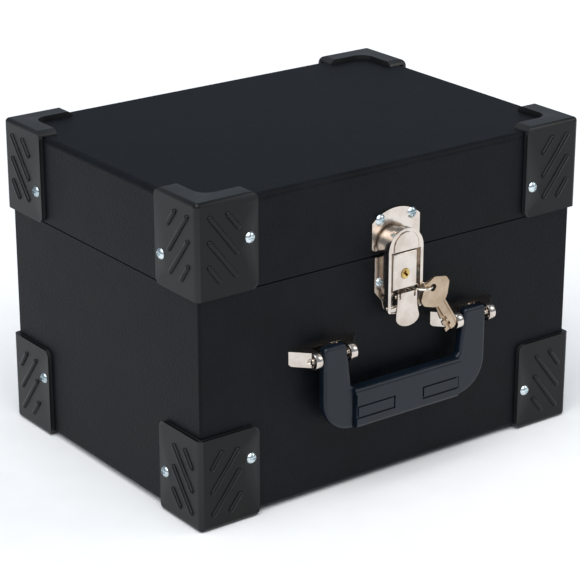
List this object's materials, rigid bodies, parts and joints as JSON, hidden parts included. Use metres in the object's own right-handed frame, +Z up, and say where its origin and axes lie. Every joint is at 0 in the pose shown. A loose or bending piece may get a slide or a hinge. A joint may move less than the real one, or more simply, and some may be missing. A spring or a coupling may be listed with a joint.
{
  "type": "lockable carrying case",
  "caption": "Covered plywood carrying case with a lift lid, moulded corner protectors, a lever latch with a key lock and a folding side handle.",
  "frame": {"origin": "on the table under the middle of the whole case (bounding box bottom centre)", "axes": "+X to the right along the front, +Y from the latch side to the hinge side, +Z up"},
  "size_m": [0.3302, 0.2597, 0.229],
  "materials": {
    "plywood": "raw sanded",
    "vinyl_cloth": "grained black vinyl cloth",
    "felt_lining": "matt felt",
    "corner_plastic": "satin moulded",
    "handle_plastic": "satin moulded",
    "nickel_steel": "nickel plated",
    "zinc_steel": "zinc plated",
    "brass": "turned"
  },
  "bodies": {
    "case": {"body_back_panel": "plywood", "body_bottom_panel": "plywood", "body_corner_back_left": "corner_plastic", "body_corner_back_right": "corner_plastic", "body_corner_front_left": "corner_plastic", "body_corner_front_right": "corner_plastic", "body_corner_screws": "nickel_steel", "body_covering": "vinyl_cloth", "body_front_panel": "plywood", "body_left_panel": "plywood", "body_lining": "felt_lining", "body_right_panel": "plywood", "handle_backing_left": "zinc_steel", "handle_backing_right": "zinc_steel", "handle_bracket_left": "nickel_steel", "handle_bracket_right": "nickel_steel", "handle_rivets": "nickel_steel", "hinge_body_leaf_left": "zinc_steel", "hinge_body_leaf_right": "zinc_steel", "hinge_body_screws": "zinc_steel", "hinge_pin_left": "zinc_steel", "hinge_pin_right": "zinc_steel", "latch_base": "nickel_steel", "latch_base_screws": "nickel_steel", "latch_lever_pin": "nickel_steel", "lock_housing": "nickel_steel"},
    "lid": {"hinge_lid_leaf_left": "zinc_steel", "hinge_lid_leaf_right": "zinc_steel", "hinge_lid_screws": "zinc_steel", "latch_strike": "nickel_steel", "latch_strike_screws": "nickel_steel", "lid_back_panel": "plywood", "lid_corner_back_left": "corner_plastic", "lid_corner_back_right": "corner_plastic", "lid_corner_front_left": "corner_plastic", "lid_corner_front_right": "corner_plastic", "lid_corner_screws": "nickel_steel", "lid_covering": "vinyl_cloth", "lid_front_panel": "plywood", "lid_left_panel": "plywood", "lid_lining": "felt_lining", "lid_right_panel": "plywood", "lid_top_panel": "plywood"},
    "lever": {"latch_lever": "nickel_steel", "latch_bail_pin": "nickel_steel"},
    "bail": {"latch_bail": "nickel_steel"},
    "lock_barrel": {"lock_plug": "brass", "lock_cam": "nickel_steel"},
    "handle": {"handle_grip": "handle_plastic", "handle_pin_left": "nickel_steel", "handle_pin_right": "nickel_steel"},
    "ring": {"key_ring": "nickel_steel"},
    "key_a": {"key_front": "nickel_steel"},
    "key_b": {"key_back": "nickel_steel"}
  },
  "joints": [
    {"name": "lid_hinge", "type": "hinge", "parent": "case", "child": "lid", "pos_m": [0, 0.12685, 0.1629], "axis": [-1, 0, 0], "range_deg": [0, 180]},
    {"name": "latch_lever", "type": "hinge", "parent": "case", "child": "lever", "pos_m": [0, -0.12275, 0.1346], "axis": [-1, 0, 0], "range_deg": [0, 120]},
    {"name": "latch_bail", "type": "hinge", "parent": "lever", "child": "bail", "pos_m": [0, -0.12165, 0.1273], "axis": [-1, 0, 0], "range_deg": [-120, 0]},
    {"name": "lock_turn", "type": "hinge", "parent": "case", "child": "lock_barrel", "pos_m": [0, -0.12315, 0.1502], "axis": [0, 1, 0], "range_deg": [0, 90]},
    {"name": "carry_handle", "type": "hinge", "parent": "case", "child": "handle", "pos_m": [0, -0.12235, 0.105], "axis": [-1, 0, 0], "range_deg": [0, 90]},
    {"name": "ring_swing", "type": "hinge", "parent": "bail", "child": "ring", "pos_m": [0.0129, -0.12225, 0.1369], "axis": [0, 1, 0], "range_deg": [0, 10]},
    {"name": "key_front_swing", "type": "hinge", "parent": "ring", "child": "key_a", "pos_m": [0.02135, -0.12625, 0.1369], "axis": [0, 1, 0], "range_deg": [0, 15]},
    {"name": "key_back_swing", "type": "hinge", "parent": "ring", "child": "key_b", "pos_m": [0.02225, -0.12469, 0.1369], "axis": [0, 1, 0], "range_deg": [0, 10]}
  ],
  "couplings": [
    {"joint": "latch_bail", "follows": "latch_lever", "ratio": -1}
  ]
}
